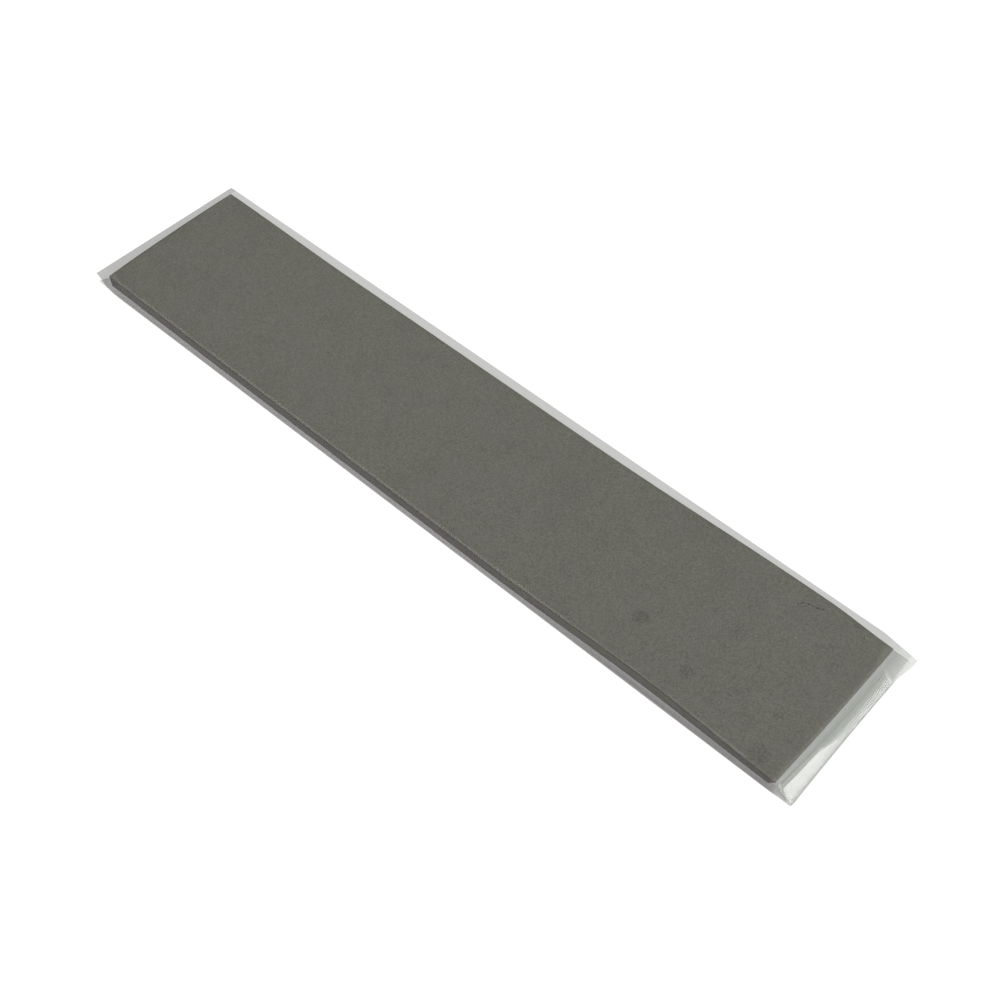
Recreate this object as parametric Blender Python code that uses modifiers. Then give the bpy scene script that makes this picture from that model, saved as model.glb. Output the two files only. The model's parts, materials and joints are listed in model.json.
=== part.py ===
"""A strip of soft thermal gap-filler pad, lying flat between its two clear release liners.

Metres, +Z up. +X runs along the strip and +Y across it. The origin is on the underside of the
bottom liner, at the middle of the strip's outline.
"""

import math

import bmesh
import bpy

# Pad: a filled-silicone strip, cut to length
PAD_LENGTH = 0.1000
PAD_WIDTH = 0.0200
PAD_THICKNESS = 0.0015
PAD_CORNER_RADIUS = 0.00015
PAD_RIM_RADIUS = 0.00010
PAD_END_BOW = 0.00026
PAD_NEAR_UNDERCUT = 0.00072
PAD_FAR_UNDERCUT = 0.00035

# The soft pad wanders sideways between its straight liners, its underside less than its top
FAR_WANDER = 0.00025
FAR_WANDER_REACH = 0.0220
NEAR_WANDER = 0.00047
NEAR_WANDER_CREST = 0.0120
NEAR_WANDER_REACH = 0.0260
NEAR_END_WANDER = 0.00020
UNDERSIDE_WANDER_SHARE = 0.55

# Liners: clear polyester film, cut by hand, so their margins round the pad are not equal
LINER_THICKNESS = 0.00010
LAYER_CLEARANCE = 0.00002
FRONT_MARGIN_FAR = 0.00067
FRONT_MARGIN_NEAR = 0.00030
BOTTOM_BACK_MARGIN = 0.00096
BOTTOM_FAR_MARGIN = 0.00120
NEAR_MARGIN_FRONT = 0.00232
NEAR_MARGIN_BACK = 0.00200
NEAR_CUT_BOW = 0.00011
TOP_BACK_MARGIN = 0.00102
TOP_FAR_MARGIN_FRONT = 0.00142
TOP_FAR_MARGIN_BACK = 0.00080
TOP_EDGE_INSET = 0.00005

# The bottom liner's free corner, far and front, curls up off the floor
CORNER_CURL = 0.00050
CORNER_CURL_REACH_ALONG = 0.0034
CORNER_CURL_REACH_ACROSS = 0.0017

# How the top liner's free margins hang: full drop is from the pad's top to the bottom liner, and
# a larger power bends the film more sharply at the pad's edge and lays it flatter further out
FRONT_HANG_POWER = 1.6
NEAR_HANG_POWER = 1.9
FAR_CORNER_STIFF_REACH = 0.0017
BACK_CORNER_HANG_POWER = 1.1
BACK_CORNER_DROP_SHARE = 0.54
BACK_CORNER_REACH = 0.0022
BACK_CORNER_LEAD_IN = 0.0020
BACK_CORNER_OVERSHOOT = 0.00048
FAR_EDGE_DROP = 0.00006
BACK_EDGE_DROP = 0.00003

# How finely the curved stretches are divided
END_BOW_CELL_COUNT = 8
WANDER_CELL_COUNT = 9
SLOPE_CELL_COUNT = 6
MARGIN_CELL_COUNT = 3
CURL_CELL_COUNT = 8
NEAR_CUT_CELL_COUNT = 6
CORNER_SEGMENT_COUNT = 3
RIM_SEGMENT_COUNT = 2

# Levels that follow from the sizes
BOTTOM_LINER_TOP = LINER_THICKNESS
PAD_UNDERSIDE = BOTTOM_LINER_TOP + LAYER_CLEARANCE
PAD_TOP = PAD_UNDERSIDE + PAD_THICKNESS
TOP_LINER_UNDERSIDE = PAD_TOP + LAYER_CLEARANCE
TOP_LINER_MEETING_LEVEL = BOTTOM_LINER_TOP + LAYER_CLEARANCE
FULL_DROP = TOP_LINER_UNDERSIDE - TOP_LINER_MEETING_LEVEL

# The pad's ends and sides, from its own middle
FAR_END = -PAD_LENGTH / 2
NEAR_END = PAD_LENGTH / 2
FRONT_SIDE = -PAD_WIDTH / 2
BACK_SIDE = PAD_WIDTH / 2

# The middle of the whole outline, from the pad's middle, which the model is moved back by
OUTLINE_FAR = FAR_END - max(BOTTOM_FAR_MARGIN, TOP_FAR_MARGIN_FRONT, TOP_FAR_MARGIN_BACK)
OUTLINE_NEAR = NEAR_END + max(NEAR_MARGIN_FRONT, NEAR_MARGIN_BACK)
OUTLINE_FRONT = FRONT_SIDE - max(FRONT_MARGIN_FAR, FRONT_MARGIN_NEAR)
OUTLINE_BACK = BACK_SIDE + max(BOTTOM_BACK_MARGIN, TOP_BACK_MARGIN)
OUTLINE_MIDDLE_X = (OUTLINE_FAR + OUTLINE_NEAR) / 2
OUTLINE_MIDDLE_Y = (OUTLINE_FRONT + OUTLINE_BACK) / 2
BOTTOM_LINER_FAR_EDGE = FAR_END - BOTTOM_FAR_MARGIN


def clear_scene():
    """Remove every object that the file starts with."""
    for thing in list(bpy.data.objects):
        bpy.data.objects.remove(thing, do_unlink=True)


def make_collection(name):
    """Make a collection in the scene and return it."""
    collection = bpy.data.collections.new(name)
    bpy.context.scene.collection.children.link(collection)
    return collection


def make_material(name, colour, roughness, alpha=1.0):
    """Make a plain Principled material."""
    material = bpy.data.materials.new(name)
    material.use_nodes = True
    shader = material.node_tree.nodes["Principled BSDF"]
    shader.inputs["Base Color"].default_value = (*colour, 1.0)
    shader.inputs["Roughness"].default_value = roughness
    shader.inputs["Metallic"].default_value = 0.0
    shader.inputs["Alpha"].default_value = alpha
    return material


def ease(share):
    """Go from 0 to 1 with no kink at either end."""
    share = min(max(share, 0.0), 1.0)
    return share * share * (3.0 - 2.0 * share)


def hang(share, power):
    """Go from 0 to 1, steepest at the start and flat at the end."""
    return 1.0 - (1.0 - share) ** power


def blend(start, end, share):
    """Return the value a share of the way from start to end."""
    return start + (end - start) * share


def spaced(start, end, cells):
    """Return evenly spaced values from start to end, both included."""
    return [blend(start, end, step / cells) for step in range(cells + 1)]


def wander(x):
    """Return how far the pad's top lies towards +Y of a straight strip, at a place along it."""
    far_part = FAR_WANDER * ease(1.0 - (x - FAR_END) / FAR_WANDER_REACH)
    crest = NEAR_END - NEAR_WANDER_CREST
    if x < crest:
        return far_part + NEAR_WANDER * ease(1.0 - (crest - x) / NEAR_WANDER_REACH)
    past_crest = ease((x - crest) / NEAR_WANDER_CREST)
    return far_part + blend(NEAR_WANDER, NEAR_END_WANDER, past_crest)


def wander_stations():
    """Return the places along the pad where its sides bend."""
    far_stretch = spaced(FAR_END, FAR_END + FAR_WANDER_REACH, WANDER_CELL_COUNT)
    crest = NEAR_END - NEAR_WANDER_CREST
    rise = spaced(crest - NEAR_WANDER_REACH, crest, WANDER_CELL_COUNT)
    fall = spaced(crest, NEAR_END, WANDER_CELL_COUNT)
    return far_stretch + rise + fall[1:]


def grid(columns, rows):
    """Make a bmesh grid whose lines lie at the given places along X and across Y."""
    mesh = bmesh.new()
    bmesh.ops.create_grid(
        mesh, x_segments=len(columns) - 1, y_segments=len(rows) - 1, size=0.5
    )
    for vert in mesh.verts:
        column = round((vert.co.x + 0.5) * (len(columns) - 1))
        row = round((vert.co.y + 0.5) * (len(rows) - 1))
        vert.co = (columns[column], rows[row], 0.0)
    return mesh


def add_object(mesh, name, material, collection):
    """Turn a bmesh into a named object, moved so that the outline's middle is at the origin."""
    data = bpy.data.meshes.new(name)
    mesh.to_mesh(data)
    mesh.free()
    data.materials.append(material)
    thing = bpy.data.objects.new(name, data)
    thing.location = (-OUTLINE_MIDDLE_X, -OUTLINE_MIDDLE_Y, 0.0)
    collection.objects.link(thing)
    return thing


def raise_block(mesh, bottom, height):
    """Turn a flat grid into a closed block that stands on the bottom level."""
    sheet = list(mesh.faces)
    raised = bmesh.ops.extrude_face_region(mesh, geom=sheet, use_keep_orig=True)
    top = [part for part in raised["geom"] if isinstance(part, bmesh.types.BMVert)]
    bmesh.ops.translate(mesh, verts=mesh.verts, vec=(0.0, 0.0, bottom))
    bmesh.ops.translate(mesh, verts=top, vec=(0.0, 0.0, height))
    bmesh.ops.recalc_face_normals(mesh, faces=mesh.faces)


def is_upright_corner(edge):
    """Tell whether an edge of the block stands at one of its four corners."""
    ends = [vert.co for vert in edge.verts]
    upright = abs(ends[0].z - ends[1].z) > PAD_THICKNESS / 2
    at_end = abs(abs(ends[0].x) - NEAR_END) < PAD_RIM_RADIUS
    at_side = abs(abs(ends[0].y) - BACK_SIDE) < PAD_RIM_RADIUS
    return upright and at_end and at_side


def is_rim(edge):
    """Tell whether an edge lies between the block's wall and its top or underside."""
    if len(edge.link_faces) != 2:
        return False
    levels = [abs(face.normal.z) > 0.5 for face in edge.link_faces]
    return levels[0] != levels[1]


def make_pad(collection, material):
    """The pad: a flat block with rounded corners and rims, bowed, undercut ends and wandering sides."""
    half_middle = BACK_SIDE - 2 * PAD_CORNER_RADIUS
    rows = [FRONT_SIDE] + spaced(-half_middle, half_middle, END_BOW_CELL_COUNT) + [BACK_SIDE]
    mesh = grid(wander_stations(), rows)
    raise_block(mesh, PAD_UNDERSIDE, PAD_THICKNESS)
    corners = [edge for edge in mesh.edges if is_upright_corner(edge)]
    bmesh.ops.bevel(
        mesh,
        geom=corners,
        offset=PAD_CORNER_RADIUS,
        segments=CORNER_SEGMENT_COUNT,
        profile=0.5,
        affect="EDGES",
    )
    mesh.normal_update()
    rims = [edge for edge in mesh.edges if is_rim(edge)]
    bmesh.ops.bevel(
        mesh, geom=rims, offset=PAD_RIM_RADIUS, segments=RIM_SEGMENT_COUNT, profile=0.5, affect="EDGES"
    )
    for vert in mesh.verts:
        across = vert.co.y / BACK_SIDE
        height_share = (vert.co.z - PAD_UNDERSIDE) / PAD_THICKNESS
        share = blend(UNDERSIDE_WANDER_SHARE, 1.0, height_share)
        nearness = ease((abs(vert.co.x) - NEAR_END) / FAR_WANDER_REACH + 1.0)
        bow = PAD_END_BOW * (1.0 - across * across) * nearness
        cut_slant = PAD_NEAR_UNDERCUT if vert.co.x > 0.0 else PAD_FAR_UNDERCUT
        undercut = cut_slant * (1.0 - height_share) * vert.co.x / NEAR_END
        vert.co.y += wander(vert.co.x) * share
        vert.co.x += math.copysign(bow, vert.co.x) - undercut
    pad = add_object(mesh, "thermal_pad", material, collection)
    pad.data.shade_smooth()
    pad.data.set_sharp_from_angle(angle=math.radians(30))
    return pad


def front_edge(x):
    """Return where both liners' front edge lies, at a place along the strip."""
    share = (x - OUTLINE_FAR) / (OUTLINE_NEAR - OUTLINE_FAR)
    return FRONT_SIDE - blend(FRONT_MARGIN_FAR, FRONT_MARGIN_NEAR, share)


def near_edge(y):
    """Return where both liners' near edge was cut, at a place across the strip."""
    share = (y - OUTLINE_FRONT) / (OUTLINE_BACK - OUTLINE_FRONT)
    margin = blend(NEAR_MARGIN_FRONT, NEAR_MARGIN_BACK, share)
    return NEAR_END + margin - NEAR_CUT_BOW * 4.0 * share * (1.0 - share)


def corner_curl(x, y):
    """Return how far the bottom liner's far front corner has curled up off the floor, at a place."""
    along = (x - BOTTOM_LINER_FAR_EDGE) / CORNER_CURL_REACH_ALONG
    across = (y - front_edge(x)) / CORNER_CURL_REACH_ACROSS
    return CORNER_CURL * ease(1.0 - max(along, 0.0) - max(across, 0.0))


def curl_stations():
    """Return the places along the strip where the curled corner bends."""
    curl_end = BOTTOM_LINER_FAR_EDGE + CORNER_CURL_REACH_ALONG
    return spaced(BOTTOM_LINER_FAR_EDGE, curl_end, CURL_CELL_COUNT)


def bottom_liner_row(x, row):
    """Return how far across a row of the bottom liner's grid lies, at a place along the strip."""
    front = front_edge(x)
    back = BACK_SIDE + BOTTOM_BACK_MARGIN
    curl_end = front + CORNER_CURL_REACH_ACROSS
    rows = spaced(front, curl_end, CURL_CELL_COUNT) + spaced(curl_end, back, NEAR_CUT_CELL_COUNT)[1:]
    return rows[row]


def make_bottom_liner(collection, material):
    """The bottom liner: a flat film with its edges where it was cut and one corner curled up."""
    columns = curl_stations() + [NEAR_END]
    row_count = CURL_CELL_COUNT + NEAR_CUT_CELL_COUNT + 1
    mesh = grid(range(len(columns)), range(row_count))
    for vert in mesh.verts:
        x = columns[round(vert.co.x)]
        y = bottom_liner_row(x, round(vert.co.y))
        x = near_edge(y) if x == NEAR_END else x
        vert.co = (x, y, corner_curl(x, y))
    raise_block(mesh, 0.0, LINER_THICKNESS)
    liner = add_object(mesh, "bottom_liner", material, collection)
    liner.data.shade_smooth()
    liner.data.set_sharp_from_angle(angle=math.radians(30))
    return liner


def top_liner_columns():
    """Return the top liner's grid lines across the strip: for each its place on the pad, and how
    far out it lies on the far and the near margin, from 0 at the fold to 1 at the film's edge."""
    far_fold = FAR_END - PAD_END_BOW - LAYER_CLEARANCE
    near_fold = NEAR_END + PAD_END_BOW + LAYER_CLEARANCE
    inner = sorted(set(curl_stations() + wander_stations()))
    stations = [far_fold] + [x for x in inner if FAR_END < x < NEAR_END] + [near_fold]
    far_margin = [(far_fold, out, 0.0) for out in spaced(1.0, 0.0, MARGIN_CELL_COUNT)[:-1]]
    over_pad = [(station, 0.0, 0.0) for station in stations]
    near_margin = [(near_fold, 0.0, out) for out in spaced(0.0, 1.0, SLOPE_CELL_COUNT)[1:]]
    return far_margin + over_pad + near_margin


def top_liner_rows(x):
    """Return the top liner's grid lines along the strip, at a place along it: for each its place
    across, and how far out it lies on the front and on the back margin."""
    pad_front = FRONT_SIDE + wander(x) - LAYER_CLEARANCE
    pad_back = BACK_SIDE + wander(x) + LAYER_CLEARANCE
    film_front = front_edge(x) + TOP_EDGE_INSET
    film_back = BACK_SIDE + TOP_BACK_MARGIN
    front_margin = [
        (blend(pad_front, film_front, out), out, 0.0) for out in spaced(1.0, 0.0, SLOPE_CELL_COUNT)
    ]
    corner_line = [(pad_back - BACK_CORNER_REACH, 0.0, 0.0)]
    back_margin = [
        (blend(pad_back, film_back, out), 0.0, out) for out in spaced(0.0, 1.0, MARGIN_CELL_COUNT)
    ]
    return front_margin + corner_line + back_margin


def top_liner_point(column, row, pad_back):
    """Return where a crossing of the top liner's grid lies, on the film's underside."""
    along, far_out, near_out = column
    y, front_out, back_out = row
    across = (y - OUTLINE_FRONT) / (OUTLINE_BACK - OUTLINE_FRONT)
    to_back_corner = ease(1.0 - max(pad_back - y, 0.0) / BACK_CORNER_REACH)
    film_far = FAR_END - blend(TOP_FAR_MARGIN_FRONT, TOP_FAR_MARGIN_BACK, across)
    film_near = near_edge(y) - TOP_EDGE_INSET + BACK_CORNER_OVERSHOOT * to_back_corner
    x = blend(along, film_far, far_out) if far_out else blend(along, film_near, near_out)

    corner_stiffness = 1.0 - ease((x - film_far) / FAR_CORNER_STIFF_REACH)
    front_drop = hang(front_out, FRONT_HANG_POWER) * (1.0 - corner_stiffness)
    hang_start = NEAR_END + PAD_END_BOW + LAYER_CLEARANCE - BACK_CORNER_LEAD_IN * back_out
    near_run = max(x - hang_start, 0.0) / (film_near - hang_start)
    near_power = blend(NEAR_HANG_POWER, BACK_CORNER_HANG_POWER, to_back_corner)
    near_drop = hang(near_run, near_power) * blend(1.0, BACK_CORNER_DROP_SHARE, to_back_corner)
    full_drop = FULL_DROP - corner_curl(x, y)
    drop = full_drop * (1.0 - (1.0 - front_drop) * (1.0 - near_drop))
    drop += FAR_EDGE_DROP * far_out * far_out + BACK_EDGE_DROP * back_out * back_out
    return x, y, TOP_LINER_UNDERSIDE - drop


def make_top_liner(collection, material):
    """The top liner: stuck to the pad's top, with its free margins bent down past the edges."""
    columns = top_liner_columns()
    row_count = len(top_liner_rows(NEAR_END))
    mesh = grid(range(len(columns)), range(row_count))
    for vert in mesh.verts:
        column = columns[round(vert.co.x)]
        row = top_liner_rows(column[0])[round(vert.co.y)]
        pad_back = BACK_SIDE + wander(column[0]) + LAYER_CLEARANCE
        vert.co = top_liner_point(column, row, pad_back)
    liner = add_object(mesh, "top_liner", material, collection)
    wall = liner.modifiers.new("film thickness", "SOLIDIFY")
    wall.thickness = LINER_THICKNESS
    wall.offset = 1.0
    wall.use_even_offset = True
    liner.data.shade_smooth()
    return liner


def main():
    """Build the strip."""
    clear_scene()
    strip = make_collection("thermal_pad_sheet")
    pad_silicone = make_material("pad_silicone", (0.150, 0.150, 0.128), 0.55)
    bottom_film = make_material("bottom_film", (0.62, 0.63, 0.62), 0.12, 0.35)
    top_film = make_material("top_film", (0.62, 0.63, 0.61), 0.10, 0.35)
    make_bottom_liner(strip, bottom_film)
    make_pad(strip, pad_silicone)
    make_top_liner(strip, top_film)


main()
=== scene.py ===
"""The looks of a strip of thermal gap-filler pad between its two clear release liners."""

import json
import math

import bmesh
import bpy
from mathutils import Matrix, Vector

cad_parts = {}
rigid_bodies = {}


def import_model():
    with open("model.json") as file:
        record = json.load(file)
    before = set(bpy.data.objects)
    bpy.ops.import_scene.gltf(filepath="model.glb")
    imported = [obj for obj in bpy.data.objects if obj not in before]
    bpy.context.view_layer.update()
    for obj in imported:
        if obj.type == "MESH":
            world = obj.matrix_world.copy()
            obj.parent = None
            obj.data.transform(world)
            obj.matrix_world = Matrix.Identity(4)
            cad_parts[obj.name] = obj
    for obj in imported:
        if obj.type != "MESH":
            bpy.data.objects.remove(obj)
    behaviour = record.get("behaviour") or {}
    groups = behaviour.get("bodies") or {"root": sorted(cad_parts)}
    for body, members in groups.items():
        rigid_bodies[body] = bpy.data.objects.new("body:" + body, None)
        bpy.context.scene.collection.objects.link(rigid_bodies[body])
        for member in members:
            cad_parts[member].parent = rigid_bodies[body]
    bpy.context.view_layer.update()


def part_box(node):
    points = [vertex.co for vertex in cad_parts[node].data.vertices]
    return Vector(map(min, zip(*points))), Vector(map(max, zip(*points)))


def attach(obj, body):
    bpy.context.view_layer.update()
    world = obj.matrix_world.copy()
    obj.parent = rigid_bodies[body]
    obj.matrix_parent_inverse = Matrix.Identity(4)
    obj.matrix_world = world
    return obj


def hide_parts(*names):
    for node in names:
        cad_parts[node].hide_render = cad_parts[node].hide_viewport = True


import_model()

MM = 0.001

# The camera, as fitted to the photograph: where it stands, how it is turned, and its lens
CAMERA_PLACE = Vector((72.35, -76.785, 132.33)) * MM
CAMERA_AZIMUTH = math.radians(45.27)
CAMERA_ELEVATION = math.radians(53.24)
CAMERA_ROLL = math.radians(-2.10)
CAMERA_LENS = 54.08
CAMERA_SHIFT = (0.0658, 0.0022)
CAMERA_SENSOR_WIDTH = 36.0
CAMERA_CLIP = (0.005, 20.0)

# The pad and its place, from the frame
PAD_LOW, PAD_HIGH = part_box("thermal_pad")
COVER_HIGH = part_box("top_liner")[1]
PAD_WIDTH = 20.0 * MM
FAR_BOW = 0.16 * MM
NEAR_BOW = 0.08 * MM
PAD_CORNER_RADIUS = 0.15 * MM
PAD_RIM_RADIUS = 0.10 * MM
PAD_NEAR_UNDERCUT = 0.72 * MM
PAD_FAR_UNDERCUT = 0.35 * MM
PAD_UNDERSIDE = PAD_LOW.z
PAD_TOP = PAD_HIGH.z
PAD_THICKNESS = PAD_TOP - PAD_UNDERSIDE
FAR_END = PAD_LOW.x + FAR_BOW
NEAR_END = PAD_HIGH.x - NEAR_BOW
MIDDLE_X = (FAR_END + NEAR_END) / 2
FRONT_SIDE = PAD_LOW.y
BACK_SIDE = FRONT_SIDE + PAD_WIDTH
MIDDLE_Y = (FRONT_SIDE + BACK_SIDE) / 2

# How far the soft pad wanders sideways between its straight liners. Near the far end: its shares
# at the front and back edge. Near the near end, for the top's front and back edge and for the
# underside: how far from the end the crest lies, how long the rise is, the crest and the end
FAR_WANDER = 0.25 * MM
FAR_WANDER_REACH = 22.0 * MM
FAR_WANDER_FRONT_SHARE = 0.40
FAR_WANDER_BACK_SHARE = 1.20
FRONT_NEAR_WANDER = (15.5 * MM, 22.0 * MM, 0.44 * MM, -0.03 * MM)
BACK_NEAR_WANDER = (8.0 * MM, 30.0 * MM, 0.52 * MM, 0.12 * MM)
UNDERSIDE_NEAR_WANDER = (15.5 * MM, 22.0 * MM, 0.38 * MM, 0.22 * MM)
UNDERSIDE_FAR_SHARE = 0.55

# The films' thickness, gap and margins round the pad
FILM_THICKNESS = 0.10 * MM
LAYER_GAP = PAD_UNDERSIDE - FILM_THICKNESS
FRONT_MARGIN_FAR = 0.67 * MM
FRONT_MARGIN_NEAR = 0.30 * MM
BASE_BACK_MARGIN = 0.96 * MM
BASE_FAR_MARGIN = 1.10 * MM
NEAR_MARGIN_FRONT = 2.33 * MM
NEAR_MARGIN_BACK = 1.90 * MM
NEAR_CUT_BOW = 0.11 * MM
COVER_BACK_MARGIN = 1.02 * MM
COVER_FAR_MARGIN_FRONT = 1.43 * MM
COVER_FAR_MARGIN_BACK = 0.70 * MM
COVER_EDGE_INSET = 0.05 * MM
OUTLINE_FAR = FAR_END - COVER_FAR_MARGIN_FRONT
OUTLINE_NEAR = NEAR_END + NEAR_MARGIN_FRONT
OUTLINE_FRONT = FRONT_SIDE - FRONT_MARGIN_FAR
OUTLINE_BACK = BACK_SIDE + COVER_BACK_MARGIN
BASE_FAR_EDGE = FAR_END - BASE_FAR_MARGIN

# The base film's free corner, far and front, curls up off the floor
CORNER_CURL = 0.50 * MM
CORNER_CURL_REACH_ALONG = 3.4 * MM
CORNER_CURL_REACH_ACROSS = 1.7 * MM

# How the cover film's free margins hang
COVER_UNDERSIDE = COVER_HIGH.z - FILM_THICKNESS
FULL_DROP = COVER_UNDERSIDE - FILM_THICKNESS - LAYER_GAP
FRONT_HANG_POWER = 1.6
NEAR_HANG_POWER = 1.9
FAR_CORNER_STIFF_REACH = 1.7 * MM
BACK_CORNER_HANG_POWER = 1.1
BACK_CORNER_DROP_SHARE = 0.54
BACK_CORNER_REACH = 2.2 * MM
BACK_CORNER_LEAD_IN = 2.0 * MM
BACK_CORNER_OVERSHOOT = 0.48 * MM
FAR_EDGE_DROP = 0.06 * MM
BACK_EDGE_DROP = 0.03 * MM
FRONT_FOLD_ROUNDING = 0.08 * MM
NEAR_FOLD_ROUNDING = 0.22 * MM

# The light: a dim white room with an overhead panel and a broad faint one that the front fold
# mirrors, each with its direction, its width and length for each metre away, and its brightness
ROOM_STRENGTH = 0.25
PANEL_DISTANCE = 1.2
OVERHEAD_PANEL = ((0.33, -0.15, 0.93), (0.55, 0.83), 11.0)
FOLD_PANEL = ((-0.45, -0.15, 0.88), (0.80, 0.70), 1.2)

# A curved wall of panels at the back right that shows in the near end's slope: the turn from the
# floor up at which each stands, how high its bright part reaches towards +Y, and the brightness
# of its bright part and of its soft part above; a soft skirt lies below them
WALL_TARGET = Vector((50.9, -4.0, 0.6)) * MM
WALL_PANEL_TURN = 10.0
WALL_SKIRT_LOW = -45.0
WALL_LOW = 20.0
WALL_HIGH = 38.0
WALL_SKIRT_BRIGHTNESS = 5.0
WALL_PANELS = (
    (9.0, 29.2, 3.0, 2.0),
    (19.0, 29.4, 18.5, 3.0),
    (29.0, 29.8, 18.5, 6.5),
    (39.0, 30.0, 18.5, 9.0),
    (49.0, 30.2, 18.5, 11.5),
    (59.0, 30.3, 18.5, 12.5),
    (69.0, 29.2, 18.5, 12.5),
    (79.0, 20.0, 10.0, 10.0),
)

# The film's looks: its tints, its gloss and the dull scuffing of its folds, and what each face of
# a film keeps back of the light, with painted light at the cut near edge, where it keeps back less
FILM_TINT = (0.004, 0.004, 0.004)
FRONT_TINT = (0.016, 0.008, 0.013)
NEAR_TINT = (0.006, 0.016, 0.004)
FILM_IOR = 1.6
FILM_ROUGHNESS = 0.05
SCUFFED_ROUGHNESS = 1.0
BASE_KEPT = 0.222
COVER_KEPT = 0.245
BASE_RIM_PAINTED_LIGHT = -0.07
COVER_RIM_PAINTED_LIGHT = -0.08
RIM_START = 0.45 * MM
RIM_END = 0.15 * MM

# Where the looks change: each from one place to another, and from one value to another. First
# what the base film keeps back: painted shade along the front, painted light at both near corners
BASE_FRONT = (FRONT_SIDE, FRONT_SIDE + 1.5 * MM, 1.0, 0.0)
BASE_FRONT_PAINTED_SHADE = (12.0 * MM, 36.0 * MM, 0.070, 0.14)
PAST_FAR_END = (FAR_END - 0.5 * MM, FAR_END + 3.0 * MM, 0.0, 1.0)
BEFORE_NEAR_END = (NEAR_END - 0.8 * MM, NEAR_END + 0.6 * MM, 1.0, 0.0)
BASE_BACK_CORNER = (BACK_SIDE - 3.0 * MM, BACK_SIDE - 1.2 * MM, 0.0, 1.0)
BASE_BACK_CORNER_PAINTED_LIGHT = (NEAR_END + 0.2 * MM, NEAR_END + 1.6 * MM, 0.0, -0.13)
BASE_FRONT_CORNER = (FRONT_SIDE - 0.1 * MM, FRONT_SIDE + 0.2 * MM, 1.0, 0.0)
BASE_FRONT_CORNER_PAINTED_LIGHT = (NEAR_END - 0.2 * MM, NEAR_END + 0.8 * MM, 0.0, -0.10)

# Then what the cover film keeps back: painted shade on its four margins, painted light on its near
# back corner
COVER_FAR_PAINTED_SHADE = (FAR_END + 0.05 * MM, FAR_END + 0.20 * MM, 0.095, 0.0)
COVER_NEAR_PAINTED_SHADE = (NEAR_END, NEAR_END + 0.5 * MM, 0.0, 0.035)
COVER_FRONT_PAINTED_SHADE = (FRONT_SIDE - 0.1 * MM, FRONT_SIDE + 0.1 * MM, 0.055, 0.0)
COVER_BACK_PAINTED_SHADE = (BACK_SIDE - 0.20 * MM, BACK_SIDE - 0.08 * MM, 0.0, 0.038)
COVER_CORNER_PAINTED_LIGHT = (NEAR_END + 0.2 * MM, NEAR_END + 0.8 * MM, 0.0, -0.03)

# Then where the cover film is dull: along the near fold, at the near back corner, and over the
# base film's curled corner; and where its tints lie
FOLD_LINE = NEAR_END + NEAR_BOW
FOLD_START = (FOLD_LINE - 0.45 * MM, FOLD_LINE - 0.20 * MM, 0.0, 1.0)
FOLD_STOP = (FOLD_LINE + 0.05 * MM, FOLD_LINE + 0.35 * MM, 1.0, 0.0)
BACK_CORNER_ALONG = (NEAR_END - 1.0 * MM, NEAR_END - 0.2 * MM, 0.0, 1.0)
BACK_CORNER_ACROSS = (BACK_SIDE - 2.8 * MM, BACK_SIDE - 1.6 * MM, 0.0, 1.0)
CURL_ALONG = (FAR_END + 1.0 * MM, FAR_END + 2.0 * MM, 1.0, 0.0)
CURL_ACROSS = (FRONT_SIDE + 0.5 * MM, FRONT_SIDE + 1.0 * MM, 1.0, 0.0)
DULLNESS = (0.0, 1.0, FILM_ROUGHNESS, SCUFFED_ROUGHNESS)
TINT_FRONT = (FRONT_SIDE, FRONT_SIDE + 0.3 * MM, 1.0, 0.0)
TINT_PAST_CURL = (FAR_END, FAR_END + 2.0 * MM, 0.0, 1.0)
TINT_NEAR = (NEAR_END, NEAR_END + 0.3 * MM, 0.0, 1.0)

# The pad's looks: its two casts of colour, how they mix, its fine grain and faint mottling, the
# painted light that makes its sides lighter, and painted shade darkening it towards the near end
PAD_COLOUR = (0.0985, 0.0985, 0.0812)
PAD_COLOUR_OLIVE = (0.0981, 0.0990, 0.0800)
PAD_COLOUR_GREY = (0.0989, 0.0980, 0.0824)
PAD_ROUGHNESS = 0.8
PAD_SPECULAR = 0.2
PAD_HUE_PATCH = 4.0 * MM
PAD_HUE_DETAIL = 1.0
PAD_HUE_SHARE = (0.3, 0.7, 0.0, 1.0)
PAD_GRAIN = 0.17 * MM
PAD_GRAIN_DETAIL = 2.0
PAD_GRAIN_DEPTH = 1.2
PAD_MOTTLE = 2.6 * MM
PAD_MOTTLE_DETAIL = 1.0
PAD_MOTTLE_DEPTH = 0.14
PAD_SIDE_PAINTED_LIGHT = (PAD_TOP - 0.20 * MM, PAD_TOP - 0.08 * MM, 1.6, 1.0)
PAD_PAINTED_SHADE_ALONG = (FAR_END, NEAR_END, 1.02, 0.94)

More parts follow.
